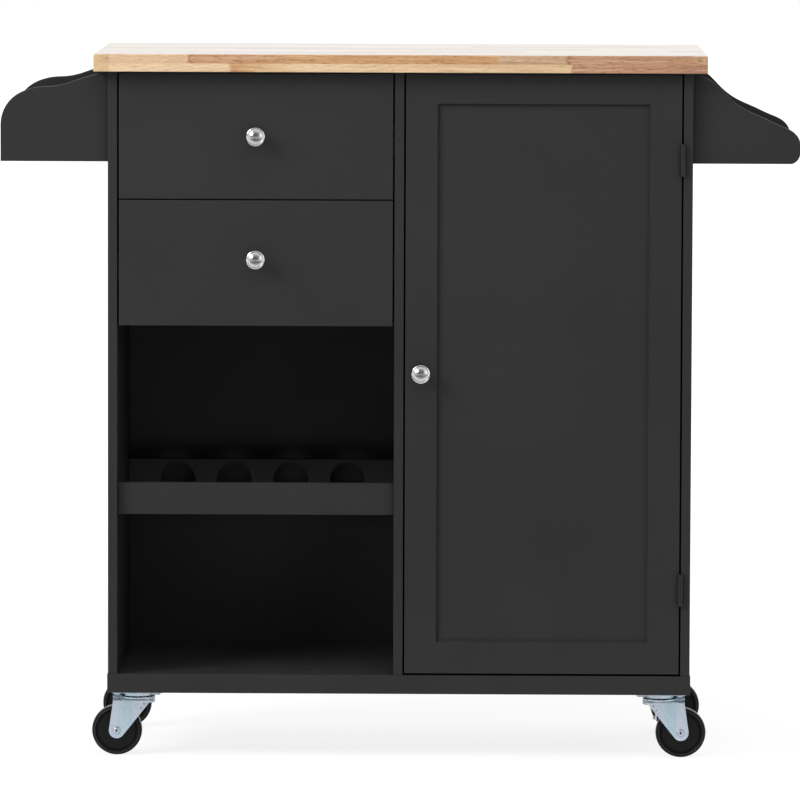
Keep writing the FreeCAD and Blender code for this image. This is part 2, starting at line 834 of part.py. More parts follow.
def door_catch():
    """The magnetic catch under the front rail, which the door's steel plate rests against."""
    x0 = door_left + catch_side_inset
    y0 = front_back + strike_thickness
    z1 = top_underside - board
    body = block(x0, x0 + catch_width, y0, y0 + catch_depth, z1 - catch_height, z1)
    flat_edges = [edge for edge in body.Edges if edge.BoundBox.YLength > catch_depth / 2]
    return body.makeFillet(edge_ease * 2, flat_edges)


def door_screws():
    screws = [knob_screw(knob_places()["door"])]
    screws += [flat_screw(leaf_screw_size, Vector(door_right + leaf_thickness, y, z), left)
               for y, z in leaf_screw_places()]
    return screws


# Casters

def caster_plate(x, y):
    """The mounting plate with the upper race pressed out of it."""
    half_x, half_y = plate_length / 2, plate_width / 2
    plate = block(x - half_x, x + half_x, y - half_y, y + half_y, plate_bottom, base_bottom)
    corners = [edge for edge in plate.Edges if edge.BoundBox.ZLength > plate_thickness / 2]
    plate = plate.makeFillet(plate_corner_radius, corners)
    race = Part.makeCone(race_lip_radius, race_radius, race_height, Vector(x, y, race_bottom))
    plate = plate.fuse(race).removeSplitter()
    bore = rod(Vector(x, y, race_bottom - overrun), up, kingpin_radius,
               plate_thickness + race_height + 2 * overrun)
    holes = [screw_hole(caster_screw_size, seat, up, overrun) for seat in caster_screw_seats()]
    return drilled(plate, holes + [bore, ball_track(x, y)])


def ball_track(x, y):
    """The space that the ring of balls needs between the race and the cup."""
    middle = race_bottom - race_gap / 2
    track = Part.makeTorus(ball_circle_radius, ball_radius + running_clearance)
    track.translate(Vector(x, y, middle))
    return track


def swivel_balls(x, y):
    middle = race_bottom - race_gap / 2
    balls = []
    for i in range(ball_count):
        angle = 2 * math.pi * i / ball_count
        balls.append(Part.makeSphere(ball_radius, Vector(x + ball_circle_radius * math.cos(angle),
                                                         y + ball_circle_radius * math.sin(angle),
                                                         middle)))
    return balls


def kingpin(x, y):
    """The rivet that the fork swivels on, closed by a wide head under the crown."""
    shank_bottom = cup_underside - running_clearance
    shank = rod(Vector(x, y, shank_bottom), up, kingpin_radius, base_bottom - shank_bottom)
    head = Part.makeCone(kingpin_radius, kingpin_head_radius, kingpin_head_height,
                         Vector(x, y, shank_bottom - kingpin_head_height))
    return shank.fuse(head).removeSplitter()


def fork_leg_outline(x, side, y):
    """One leg seen from the front: steep on the wheel's side, slanting on the other."""
    axle_x = x + side * caster_trail
    top = (crown_underside + cup_underside) / 2
    shoulder = x + side * fork_shoulder
    inner_top = x - side * fork_diagonal_reach
    slant_start = crown_underside - fork_diagonal_start
    axle = Vector(axle_x, y, wheel_radius)
    steep = tangent_point(axle, Vector(shoulder, y, crown_underside), side)
    slant = tangent_point(axle, Vector(inner_top, y, slant_start), -side)
    foot = Vector(axle_x + (steep.x - axle_x + slant.x - axle_x) / 2, y, wheel_radius - fork_foot_radius)
    foot = axle + (foot - axle).normalize() * fork_foot_radius
    return [Part.makeLine(Vector(inner_top, y, top), Vector(shoulder, y, top)),
            Part.makeLine(Vector(shoulder, y, top), Vector(shoulder, y, crown_underside)),
            Part.makeLine(Vector(shoulder, y, crown_underside), steep),
            Part.Arc(steep, foot, slant).toShape(),
            Part.makeLine(slant, Vector(inner_top, y, slant_start)),
            Part.makeLine(Vector(inner_top, y, slant_start), Vector(inner_top, y, top))]


def tangent_point(axle, point, side):
    """Where the line from a point above touches the foot's circle, on one side of it."""
    reach = point - axle
    distance = reach.Length
    lean = math.atan2(reach.z, reach.x)
    spread = math.acos(fork_foot_radius / distance)
    angle = lean - side * spread
    return axle + Vector(math.cos(angle), 0, math.sin(angle)) * fork_foot_radius


def fork_nose(x, y, side, radius, half, height):
    """The rounded end of the crown, on the side away from the wheel."""
    x0, x1 = sorted((x, x - side * radius))
    round_end = rod(Vector(x, y, crown_underside), up, radius, height)
    return round_end.common(block(x0, x1, y - half, y + half, crown_underside, crown_underside + height))


def caster_fork(x, y, side, braked):
    """The pressed steel fork: a round cup for the balls, a nose and a bent shoulder at its ends,
    and two legs. It is hollow from below."""
    half = leg_inner + fork_steel
    cup = rod(Vector(x, y, cup_underside), up, cup_radius, cup_steel)
    cup = cup.makeFillet(cup_corner_radius, [edge for edge in cup.Edges if edge.Closed])
    nose = fork_nose(x, y, side, cup_radius, half, cup_height - cup_corner_radius)
    shoulder_top = cup_top + fork_shoulder_rise
    shoulder_ends = sorted((x, x + side * fork_shoulder))
    shoulder = block(shoulder_ends[0], shoulder_ends[1], y - half, y + half,
                     crown_underside, shoulder_top)
    bends = [edge for edge in shoulder.Edges if edge.BoundBox.XLength > fork_shoulder / 2
             and edge.BoundBox.ZMin > cup_top]
    shoulder = shoulder.makeFillet(fork_bend_radius, bends)
    race_space = rod(Vector(x, y, cup_top), up, race_radius + fork_race_clearance,
                     fork_shoulder_rise + overrun)
    hollow_ends = sorted((x, x + side * (fork_shoulder - fork_steel)))
    hollow = block(hollow_ends[0], hollow_ends[1], y - leg_inner, y + leg_inner,
                   crown_underside, cup_underside)
    nose_hollow = fork_nose(x, y, side, cup_radius - fork_steel, leg_inner, cup_height - cup_steel)
    shape = nose.fuse(shoulder).cut(race_space).fuse(cup).cut(hollow.fuse(nose_hollow))
    for y0 in (y - half, y + leg_inner):
        face = Part.Face(Part.Wire(Part.__sortEdges__(fork_leg_outline(x, side, y0))))
        shape = shape.fuse(face.extrude(Vector(0, fork_steel, 0)))
    shape = shape.removeSplitter()
    axle_hole = rod(Vector(x + side * caster_trail, y - half - overrun, wheel_radius), back,
                    axle_radius, 2 * (half + overrun))
    bore = rod(Vector(x, y, cup_underside - overrun), up, kingpin_radius + running_clearance,
               cup_steel + 2 * overrun)
    cutters = [axle_hole, bore, ball_track(x, y)]
    if braked:
        cutters.append(rod(Vector(x - side * brake_pin_ahead, y - half - overrun, brake_pin_height),
                           back, brake_pin_radius + running_clearance, 2 * (half + overrun)))
    return drilled(shape, cutters)


def caster_wheel(x, y, side):
    """A moulded wheel with a rounded tread, dished sides and a plain hub."""
    middle = Vector(x + side * caster_trail, y, wheel_radius)
    tyre = rod(middle - back * (wheel_width / 2), back, wheel_radius, wheel_width)
    tyre = tyre.makeFillet(wheel_edge_radius, [edge for edge in tyre.Edges if edge.Closed])
    dish = turned([(wheel_hub_radius, -overrun), (wheel_dish_radius, -overrun),
                   (wheel_dish_radius, 0.0), (wheel_dish_radius - wheel_dish_wall, wheel_dish_depth),
                   (wheel_hub_radius + wheel_dish_wall, wheel_dish_depth), (wheel_hub_radius, 0.0)],
                  Vector(0, 0, 0), up)
    cutters = [along(dish, middle - back * (wheel_width / 2), back),
               along(dish, middle + back * (wheel_width / 2), front)]
    cutters.append(rod(middle - back * wheel_width, back, axle_radius + running_clearance,
                       2 * wheel_width))
    return drilled(tyre, cutters)


def caster_axle(x, y, side):
    """The hollow-ended rivet that the wheel turns on."""
    half = leg_inner + fork_steel
    start = Vector(x + side * caster_trail, y - half, wheel_radius)
    shank = rod(start, back, axle_radius, 2 * half)
    axle = shank.fuse(rod(start, front, axle_head_radius, axle_head_height))
    axle = axle.fuse(rod(start + back * (2 * half), back, axle_head_radius, axle_head_height))
    rims = [edge for edge in axle.removeSplitter().Edges if edge.Closed
            and abs(edge.BoundBox.XLength / 2 - axle_head_radius) < edge_ease / 4
            and abs(abs(edge.CenterOfMass.y - y) - half) > axle_head_height / 2]
    axle = axle.removeSplitter().makeFillet(edge_ease, rims)
    dimples = [rod(start - back * (axle_head_height + overrun), back, axle_dimple_radius,
                   axle_dimple_depth + overrun),
               rod(start + back * (2 * half + axle_head_height + overrun), front,
                   axle_dimple_radius, axle_dimple_depth + overrun)]
    return drilled(axle, dimples)


def brake_lever(x, y, side):
    """A bent strip hung on a cross pin in the fork. Its toe sticks out past the slanting edge,
    and pushing it towards the wheel presses its heel on the tread."""
    pin_x = x - side * brake_pin_ahead
    half = brake_width / 2
    pin_middle = Vector(pin_x, y, brake_pin_height)
    toe_z = brake_pin_height - brake_arm_drop
    arm_x = pin_x + side * brake_arm_lean

    def strip(x0, x1, z0, z1):
        low, high = sorted((x0, x1))
        return block(low, high, y - half, y + half, z0, z1)

    eye = rod(pin_middle - back * half, back, brake_eye_radius, brake_width)
    arm = strip(arm_x, arm_x + side * brake_steel, toe_z, brake_pin_height)
    toe = strip(arm_x + side * brake_steel, arm_x - side * brake_toe_reach, toe_z, toe_z + brake_steel)
    curl = rod(Vector(arm_x - side * brake_toe_reach, y - half, toe_z + brake_curl_radius),
               back, brake_curl_radius, brake_width)
    hollow = rod(Vector(arm_x - side * brake_toe_reach, y - half - overrun, toe_z + brake_curl_radius),
                 back, brake_curl_radius - brake_steel / 2, brake_width + 2 * overrun)
    plate = eye.fuse(arm).fuse(toe).fuse(curl).removeSplitter()
    pin_half = leg_inner + fork_steel
    bore = rod(pin_middle - back * (half + overrun), back, brake_pin_radius, brake_width + 2 * overrun)
    pin = rod(pin_middle - back * pin_half, back, brake_pin_radius, 2 * pin_half)
    return [drilled(plate, [hollow, bore]), pin]


# Screws of the cabinet

def cabinet_screws():
    screws = [pan_screw(top_screw_size, seat, up) for seat in rail_screw_seats()]
    screws += [pan_screw(caster_screw_size, seat, up) for seat in caster_screw_seats()]
    screws += [flat_screw(base_screw_size, seat, up) for seat in base_screw_seats()]
    for side in (-1, 1):
        screws += [flat_screw(bracket_screw_size, seat, Vector(side, 0, 0))
                   for seat in bracket_screw_seats(side)]
    for y, z in runner_seats(None):
        screws.append(pan_screw(pan_screw_size, Vector(-side_inner + runner_steel, y, z), left))
        screws.append(pan_screw(pan_screw_size, Vector(divider_left - runner_steel, y, z), right))
    screws += [flat_screw(leaf_screw_size, Vector(side_inner - leaf_thickness, y, z), right)
               for y, z in leaf_screw_places()]
    return screws


def all_pieces():
    """Every node by name, each with its solid or its group of like solids."""
    places = caster_places()
    knobs = knob_places()
    pieces = {
        "worktop": worktop(),
        "side_panel_left": side_panel(-1),
        "side_panel_right": side_panel(1),
        "divider_panel": divider_panel(),
        "bottom_board": bottom_board(),
        "back_panel": back_panel(),
        "top_rails": top_rails(),
        "drawer_deck": drawer_deck(),
        "rack_front_rail": rack_front_rail(),
        "rack_neck_rail": rack_neck_rail(),
        "cupboard_shelf": cupboard_shelf(),
        "shelf_pins": shelf_pins(),
        "spice_bracket_front": spice_bracket(bracket_front, True),
        "spice_bracket_rear": spice_bracket(bracket_rear, False),
        "spice_tray": spice_tray(),
        "spice_guard_rail": spice_guard_rail(),
        "towel_bracket_front": towel_bracket(bracket_front),
        "towel_bracket_rear": towel_bracket(bracket_rear),
        "towel_bar": towel_bar(),
        "cabinet_runners": runner_pair(0, False) + runner_pair(1, False),
        "cabinet_screws": cabinet_screws(),
        "hinge_side_leaves": [hinge_leaf(bottom, 1) for bottom in hinge_bottoms],
        "hinge_door_leaves": [hinge_leaf(bottom, -1) for bottom in hinge_bottoms],
        "hinge_pins": [hinge_pin(bottom) for bottom in hinge_bottoms],
        "door_panel": door_panel(),
        "door_knob": knob(knobs["door"]),
        "door_screws": door_screws(),
        "door_catch": door_catch(),
        "catch_plate": catch_plate(),
        "caster_plates": [caster_plate(x, y) for name, side, x, y in places],
        "caster_kingpins": [kingpin(x, y) for name, side, x, y in places],
        "swivel_balls": [ball for name, side, x, y in places for ball in swivel_balls(x, y)],
    }
    for index, drawer in enumerate(("lower_drawer", "upper_drawer")):
        bottom = (lower_front_bottom, upper_front_bottom)[index]
        pieces[drawer + "_front"] = drawer_front(bottom, index, knobs[drawer])
        pieces[drawer + "_sides"] = drawer_sides(index)
        pieces[drawer + "_back"] = drawer_back(index)
        pieces[drawer + "_bottom"] = drawer_bottom(index)
        pieces[drawer + "_runners"] = runner_pair(index, True)
        pieces[drawer + "_knob"] = knob(knobs[drawer])
        pieces[drawer + "_screws"] = drawer_screws(index, knobs[drawer])
    for name, side, x, y in places:
        braked = side > 0
        pieces[name + "_fork"] = caster_fork(x, y, side, braked)
        pieces[name + "_wheel"] = caster_wheel(x, y, side)
        pieces[name + "_axle"] = caster_axle(x, y, side)
        if braked:
            pieces[name + "_brake_lever"] = brake_lever(x, y, side)
    return pieces


os.makedirs("parts", exist_ok=True)
for node, shape in all_pieces().items():
    if isinstance(shape, list):
        shape = Part.makeCompound(shape)
    shape.exportStep("parts/" + node + ".step")
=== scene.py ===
import math

import bpy
from mathutils import Matrix, Vector


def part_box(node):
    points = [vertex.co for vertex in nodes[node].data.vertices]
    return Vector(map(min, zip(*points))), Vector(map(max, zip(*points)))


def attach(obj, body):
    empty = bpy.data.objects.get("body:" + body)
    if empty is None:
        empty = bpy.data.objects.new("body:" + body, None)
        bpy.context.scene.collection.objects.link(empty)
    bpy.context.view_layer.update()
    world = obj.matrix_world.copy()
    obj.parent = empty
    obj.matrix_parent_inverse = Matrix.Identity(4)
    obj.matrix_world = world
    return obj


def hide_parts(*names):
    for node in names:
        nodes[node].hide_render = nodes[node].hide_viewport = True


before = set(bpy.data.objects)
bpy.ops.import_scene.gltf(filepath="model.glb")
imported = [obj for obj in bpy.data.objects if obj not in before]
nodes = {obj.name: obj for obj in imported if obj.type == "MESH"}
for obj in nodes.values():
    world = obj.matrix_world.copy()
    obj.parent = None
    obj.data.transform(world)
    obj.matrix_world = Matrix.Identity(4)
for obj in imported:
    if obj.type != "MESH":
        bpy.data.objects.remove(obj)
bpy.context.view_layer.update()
scene = bpy.context.scene


# The carcass is 12 mm fibreboard, butted and screwed: two sides, a divider, a thick base, rails
# and decks. Its edges were eased with fine paper, then all of it was sprayed satin charcoal.

def srgb(red, green, blue):
    """A colour as it looks on screen, 0 to 255, as the linear colour that a shader takes."""
    parts = [part / 255 for part in (red, green, blue)]
    linear = [part / 12.92 if part <= 0.04045 else ((part + 0.055) / 1.055) ** 2.4 for part in parts]
    return (*linear, 1.0)


def feed(tree, socket, value):
    """Gives a socket its value, or joins another node's output to it."""
    if isinstance(value, bpy.types.NodeSocket):
        tree.links.new(value, socket)
    else:
        socket.default_value = value


def fill(tree, node, **inputs):
    """Feeds a node's inputs by their names."""
    for name, value in inputs.items():
        feed(tree, node.inputs[name.replace("_", " ")], value)


def add(tree, kind, settings=(), **inputs):
    """Adds a node, with its settings and what its inputs take."""
    made = tree.nodes.new("ShaderNode" + kind)
    for name, value in dict(settings).items():
        setattr(made, name, value)
    fill(tree, made, **inputs)
    return made


def reckon(tree, operation, *values, kind="Math", result=0):
    """One step of arithmetic on what changes over the surface."""
    made = add(tree, kind, {"operation": operation})
    for socket, value in zip(made.inputs, values):
        feed(tree, socket, value)
    return made.outputs[result]


def times(tree, product, *others):
    """Values multiplied together."""
    for other in others:
        product = reckon(tree, "MULTIPLY", product, other)
    return product


def plus(tree, total, *others):
    """Values added together."""
    for other in others:
        total = reckon(tree, "ADD", total, other)
    return total


def minus(tree, first, second):
    """The first value less the second."""
    return reckon(tree, "SUBTRACT", first, second)


def between(tree, value, low, high, start=0.0, end=1.0):
    """Start where the value is at its low end, end at its high end, and straight in between."""
    made = add(tree, "MapRange", Value=value, From_Min=low, From_Max=high, To_Min=start, To_Max=end)
    return made.outputs["Result"]


def drifting(tree, noise, start=0.0, end=1.0):
    """A value that drifts from start to end over the range in which most of a soft noise lies."""
    noise_low, noise_high = 0.3, 0.7
    return between(tree, noise, noise_low, noise_high, start, end)


def layered(tree, colour, *layers):
    """A colour with others laid over it in turn, each through its own mask."""
    for mask, over in layers:
        made = add(tree, "Mix", {"data_type": "RGBA"})
        mask_socket, under_socket, over_socket = made.inputs[0], made.inputs[6], made.inputs[7]
        feed(tree, mask_socket, mask)
        feed(tree, under_socket, colour)
        feed(tree, over_socket, over)
        colour = made.outputs[2]
    return colour


def own_place(tree):
    """The place of a point of the surface, in metres."""
    return tree.nodes.new("ShaderNodeTexCoord").outputs["Object"]


def facing(tree):
    """The direction that the surface faces."""
    return tree.nodes.new("ShaderNodeNewGeometry").outputs["Normal"]


def parted(tree, place):
    """A place or a direction taken apart into X, Y and Z."""
    return add(tree, "SeparateXYZ", Vector=place).outputs


def speckle(tree, place, cells, detail=3.0, rough=0.6, warp=0.0):
    """Soft noise from 0 to 1, with so many cells in a metre, the same or one number for each axis."""
    scale = cells
    if isinstance(cells, tuple):
        place = add(tree, "Mapping", Vector=place, Scale=cells).outputs["Vector"]
        scale = 1.0
    noise = add(tree, "TexNoise", Vector=place, Scale=scale, Detail=detail, Roughness=rough, Distortion=warp)
    return noise.outputs["Fac"]


def relief(tree, height, strength, depth):
    """The bumps that a height makes, as a normal."""
    return add(tree, "Bump", Height=height, Strength=strength, Distance=depth).outputs["Normal"]


def effect(name, inputs, outputs):
    """A shader group with named inputs and outputs: its tree and its two ends."""
    tree = bpy.data.node_groups.new(name, "ShaderNodeTree")
    for label, value in inputs.items():
        socket = tree.interface.new_socket(name=label, in_out="INPUT", socket_type="NodeSocketFloat")
        socket.default_value = value
    for label in outputs:
        tree.interface.new_socket(name=label, in_out="OUTPUT", socket_type="NodeSocketFloat")
    return tree, tree.nodes.new("NodeGroupInput").outputs, tree.nodes.new("NodeGroupOutput").inputs


def laid(tree, shared, **inputs):
    """A shared effect placed in a material with its own values: what it puts out."""
    return add(tree, "Group", {"node_tree": shared}, **inputs).outputs


def finish(name):
    """A material, its tree, and the shader that its colours go into."""
    material = bpy.data.materials.new(name)
    material.use_nodes = True
    return material, material.node_tree, material.node_tree.nodes["Principled BSDF"]


def cover(material, *names):
    """Gives CAD pieces their finish."""
    for name in names:
        for holder in nodes[name].material_slots:
            holder.material = material


# Rubbed edges: where the rounded normal departs from the flat one, in patches.
rubbed_edges, given, result = effect("rubbed_edges", {"Width": 0.001, "Patches": 60.0}, ["Mask"])
rounded = add(rubbed_edges, "Bevel", {"samples": 6}, Radius=given["Width"]).outputs["Normal"]
alike = reckon(rubbed_edges, "DOT_PRODUCT", rounded, facing(rubbed_edges), kind="VectorMath", result="Value")
edge = between(rubbed_edges, minus(rubbed_edges, 1.0, alike), 0.01, 0.22)
patches = speckle(rubbed_edges, own_place(rubbed_edges), given["Patches"], detail=4.0)
feed(rubbed_edges, result["Mask"], times(rubbed_edges, edge, between(rubbed_edges, patches, 0.38, 0.62)))

# Sprayed skin: the fine orange peel of a sprayed coat, and the slow clouds in its gloss.
sprayed_skin, given, result = effect("sprayed_skin", {"Fineness": 700.0}, ["Height", "Cloud"])
here = own_place(sprayed_skin)
feed(sprayed_skin, result["Height"], speckle(sprayed_skin, here, given["Fineness"], detail=2.0, rough=0.4))
feed(sprayed_skin, result["Cloud"], speckle(sprayed_skin, here, 5.0, detail=4.0))

# Settled dust: faces that look up, in thin uneven patches.
settled_dust, given, result = effect("settled_dust", {"Patches": 30.0}, ["Mask"])
upward = between(settled_dust, parted(settled_dust, facing(settled_dust))["Z"], 0.6, 0.95)
patches = speckle(settled_dust, own_place(settled_dust), given["Patches"], detail=6.0, rough=0.65)
feed(settled_dust, result["Mask"], times(settled_dust, upward, between(settled_dust, patches, 0.42, 0.68)))

# Occluded shade: painted shade read from ambient occlusion, a soft darkening where two faces meet,
# and a deeper dark in narrow gaps.
occluded_shade, given, result = effect("occluded_shade", {"Reach": 0.01}, ["Film", "Gap_Shade"])
openness = add(occluded_shade, "AmbientOcclusion", {"samples": 8}, Distance=given["Reach"]).outputs["AO"]
feed(occluded_shade, result["Film"], between(occluded_shade, openness, 0.70, 0.98, 1.0, 0.0))
feed(occluded_shade, result["Gap_Shade"], between(occluded_shade, openness, 0.20, 0.58, 1.0, 0.0))

charcoal, charcoal_deep = srgb(48, 48, 48), srgb(45, 45, 45)
bare_edge, dust_grey = srgb(62, 61, 60), srgb(76, 75, 73)
# Painted shade: a dark grey for corners, and near-black for narrow gaps and the walls of the neck holes.
corner_shade_grey, gap_shade_black = srgb(24, 24, 24), srgb(6, 6, 6)
wear_share, dust_share, corner_shade_share = 0.2, 0.08, 0.36
satin_rough, clouded_rough, dust_rough = 0.42, 0.50, 0.12


def sprayed(name, marked=None):
    """The satin charcoal coat with painted shade in its corners and gaps, and the marks that one kind of
    piece has in it.
    """
    material, tree, shader = finish(name)
    skin = laid(tree, sprayed_skin, Fineness=650.0)
    worn = laid(tree, rubbed_edges, Width=0.0008, Patches=45.0)["Mask"]
    dust = laid(tree, settled_dust, Patches=26.0)["Mask"]
    painted_shading = laid(tree, occluded_shade, Reach=0.008)
    coat = layered(tree, charcoal_deep,
                   (between(tree, skin["Cloud"], 0.35, 0.65), charcoal),
                   (times(tree, worn, wear_share), bare_edge),
                   (times(tree, dust, dust_share), dust_grey),
                   (times(tree, painted_shading["Film"], corner_shade_share), corner_shade_grey),
                   (painted_shading["Gap_Shade"], gap_shade_black))
    if marked:
        coat = marked(tree, coat)
    satin = drifting(tree, skin["Cloud"], satin_rough, clouded_rough)
    fill(tree, shader, Base_Color=coat, Roughness=plus(tree, satin, times(tree, dust, dust_rough)),
         Normal=relief(tree, skin["Height"], strength=0.12, depth=0.0002), Specular_IOR_Level=0.2)
    return material


paint = sprayed("charcoal_paint")
cover(paint, "side_panel_left", "side_panel_right", "divider_panel", "bottom_board", "top_rails",
      "drawer_deck", "cupboard_shelf")


# The back is one sheet of 3 mm hardboard, pushed down the grooves of the sides and base. Its
# inner face is lacquered black, and the fibres of the board still show through as faint flecks.
board_black, board_brown = srgb(40, 39, 39), srgb(50, 46, 42)
fleck_share = 0.5
hardboard, tree, shader = finish("black_hardboard")
fibres = speckle(tree, own_place(tree), (260.0, 260.0, 91.0), detail=5.0, rough=0.7, warp=1.5)
sheet_cloud = speckle(tree, own_place(tree), 4.0, rough=0.55)
flecks = between(tree, fibres, 0.55, 0.72, 0.0, fleck_share)
fill(tree, shader, Base_Color=layered(tree, board_black, (flecks, board_brown)),
     Roughness=drifting(tree, sheet_cloud, 0.55, 0.7),
     Normal=relief(tree, fibres, strength=0.3, depth=0.0002), Specular_IOR_Level=0.25)
cover(hardboard, "back_panel")


# The top is a block of rubberwood, 23 mm thick: short finger-jointed blocks glued end to end
# into staves, and the staves into two layers. It was sanded, eased and lacquered, and is
# screwed down from below through the four top rails.
top_low, top_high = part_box("worktop")
top_middle = (top_low.z + top_high.z) / 2
stave_count = 9
stave_width = (top_high.y - top_low.y) / stave_count
block_length, block_unevenness = 0.26, 0.65
stave_shift = 17.3  # how many blocks a stave's row starts after its neighbour's
finger_pitch, finger_depth = 0.0056, 0.0095
glue_line = 0.00035
cream, blush = srgb(237, 208, 167), srgb(224, 188, 151)
wheat, fawn = srgb(225, 191, 145), srgb(205, 170, 133)
amber, russet = srgb(207, 158, 103), srgb(201, 149, 107)
chestnut, bark = srgb(192, 144, 108), srgb(166, 124, 95)

# The blocks that show along the front edge, by where they start and end as shares of its length
# from the left, and the tones that all the other blocks take by lot.
upper_front_shares = ((0.0, wheat), (0.0249, fawn), (0.0251, blush), (0.1545, blush), (0.155, russet),
                      (0.25, russet), (0.33, amber), (0.6565, amber), (0.6575, fawn), (0.769, fawn),
                      (0.7705, bark), (0.779, chestnut), (0.97, chestnut), (1.0, fawn))
lower_front_shares = ((0.0, wheat), (0.0268, wheat), (0.0272, cream), (0.222, cream), (0.223, amber),
                      (0.29, wheat), (0.345, cream), (0.66, wheat), (0.777, wheat), (0.7785, chestnut),
                      (0.93, chestnut), (1.0, bark))
block_tone_shares = ((0.0, cream), (0.3, wheat), (0.5, blush), (0.68, fawn), (0.84, amber), (1.0, chestnut))


def strip(tree, value, stops):
    """A row of colours along a value, each running into the next."""
    made = add(tree, "ValToRGB", Fac=value)
    band = made.color_ramp.elements
    band.remove(band[1])
    for i, (share, colour) in enumerate(stops):
        stop = band[0] if i == 0 else band.new(share)
        stop.position = share
        stop.color = colour
    return made.outputs["Color"]


def part_colours(tree, colour):
    """A colour taken apart into red, green and blue."""
    return add(tree, "SeparateColor", Color=colour).outputs


rubberwood, tree, shader = finish("rubberwood")
place = own_place(tree)
split = parted(tree, place)
inwards = minus(tree, split["Y"], top_low.y)
stave = reckon(tree, "FLOOR", reckon(tree, "DIVIDE", inwards, stave_width))
layer = reckon(tree, "GREATER_THAN", split["Z"], top_middle)
finger = times(tree, reckon(tree, "PINGPONG", split["Y"], finger_pitch / 2), 2 * finger_depth / finger_pitch)
along_stave = plus(tree, reckon(tree, "DIVIDE", plus(tree, split["X"], finger), block_length),
                   times(tree, stave, stave_shift), times(tree, layer, stave_shift / 2))
block, joint = [add(tree, "TexVoronoi", {"voronoi_dimensions": "1D", "feature": feature}, W=along_stave,
                    Scale=1.0, Randomness=block_unevenness).outputs
                for feature in ("F1", "DISTANCE_TO_EDGE")]
along_front = between(tree, split["X"], top_low.x, top_high.x)
in_front = reckon(tree, "LESS_THAN", split["Y"], top_low.y + stave_width / 4)
front_wood = layered(tree, strip(tree, along_front, lower_front_shares),
                     (layer, strip(tree, along_front, upper_front_shares)))
inner_wood = strip(tree, part_colours(tree, block["Color"])["Red"], block_tone_shares)
wood = layered(tree, inner_wood, (in_front, front_wood))

# Each block was sawn from its own place in a log, so its rings run round a heart that lies off to
# one side and drifts away along the block: lines on the faces, and long arches where they meet.
ring_pitch, ring_wander = 0.0040, 0.012
late_start, late_full, late_end = 0.25, 0.85, 0.88
heart_offset, heart_drift = 0.05, 0.30
front_tones, layer_lot = 9.0, 31.7  # what tells the front blocks and the two layers apart
black = (0.0, 0.0, 0.0, 1.0)


def spread(tree, share, width):
    """A value picked for each block, from minus half the width to plus half."""
    return times(tree, minus(tree, share, 0.5), width)


def apart(tree, across, up):
    """How far a point lies from a middle, by how far it lies across and up."""
    return reckon(tree, "SQRT", plus(tree, *[reckon(tree, "POWER", side, 2.0) for side in (across, up)]))


front_block = reckon(tree, "FLOOR", times(tree, part_colours(tree, front_wood)["Green"], front_tones))
inner_block = layered(tree, block["Color"], (in_front, black))
own_block = add(tree, "CombineXYZ", X=plus(tree, stave, times(tree, layer, layer_lot)),
                Y=part_colours(tree, inner_block)["Green"],
                Z=times(tree, in_front, front_block)).outputs["Vector"]
lot = add(tree, "TexWhiteNoise", {"noise_dimensions": "3D"}, Vector=own_block).outputs["Color"]
lots = part_colours(tree, lot)
heart_y = plus(tree, spread(tree, lots["Red"], heart_offset),
               times(tree, split["X"], spread(tree, lots["Green"], heart_drift)))
heart_z = plus(tree, spread(tree, lots["Blue"], heart_offset),
               times(tree, split["X"], spread(tree, lots["Red"], heart_drift)))
from_heart = apart(tree, minus(tree, minus(tree, split["Y"], heart_y), top_low.y),
                   minus(tree, minus(tree, split["Z"], heart_z), top_low.z))
wander = speckle(tree, place, (5.0, 40.0, 40.0), detail=2.0, rough=0.5, warp=0.3)
from_heart = plus(tree, from_heart, times(tree, wander, ring_wander))
year = reckon(tree, "FRACT", reckon(tree, "DIVIDE", from_heart, ring_pitch))
late_wood = times(tree, between(tree, year, late_start, late_full),
                  between(tree, year, late_end, 1.0, 1.0, 0.0))

# The grain runs along the blocks: fibres, streaks and flames of stain, open pores, and the short
# dark dashes of sap channels, all bolder in the dark blocks than in the pale ones.
stain, pale_stain, dash_brown = srgb(168, 104, 60), srgb(250, 230, 198), srgb(126, 74, 42)
ring_share, streak_share, pale_share = 0.70, 0.6, 0.35
fibre_share, dash_share, pore_share = 0.25, 0.75, 0.4
own = reckon(tree, "ADD", place, lot, kind="VectorMath")
fibre = speckle(tree, own, (26.0, 900.0, 900.0), detail=4.0, warp=0.2)
streak = speckle(tree, own, (7.0, 210.0, 210.0), detail=4.0, warp=0.4)
flame = speckle(tree, own, (2.4, 34.0, 34.0), detail=2.0, rough=0.45, warp=0.6)
pores = between(tree, speckle(tree, own, (75.0, 1500.0, 1500.0), detail=2.0, rough=0.5), 0.60, 0.72)
dashes = between(tree, speckle(tree, own, (95.0, 620.0, 620.0), warp=0.5), 0.53, 0.68)
boldness = between(tree, part_colours(tree, wood)["Green"], 0.50, 0.30, 0.35, 1.0)
figure = times(tree, late_wood, between(tree, flame, 0.38, 0.62, 0.25, 0.75))
wood = layered(tree, wood,
               (times(tree, boldness, figure, ring_share), stain),
               (times(tree, boldness, between(tree, streak, 0.5, 0.78, 0.0, streak_share)), stain),
               (between(tree, streak, 0.46, 0.25, 0.0, pale_share), pale_stain),
               (between(tree, fibre, 0.50, 0.72, 0.0, fibre_share), stain),
               (times(tree, boldness, dashes, dash_share), dash_brown),
               (times(tree, pores, pore_share), dash_brown))

# Two of the front blocks begin at a small knot, whose dark rim bends round their ends.
knot_shares = (0.1552, 0.7708)
knot_reach, knot_half = 0.0052, (top_high.z - top_low.z) / 4
rim_round, rim_fade, rim_share = 0.85, 0.3, 0.6


def near(tree, value, middle, full, faded):
    """1 where the value lies within full of the middle, and 0 from faded on."""
    return between(tree, reckon(tree, "ABSOLUTE", minus(tree, value, middle)), full, faded, 1.0, 0.0)


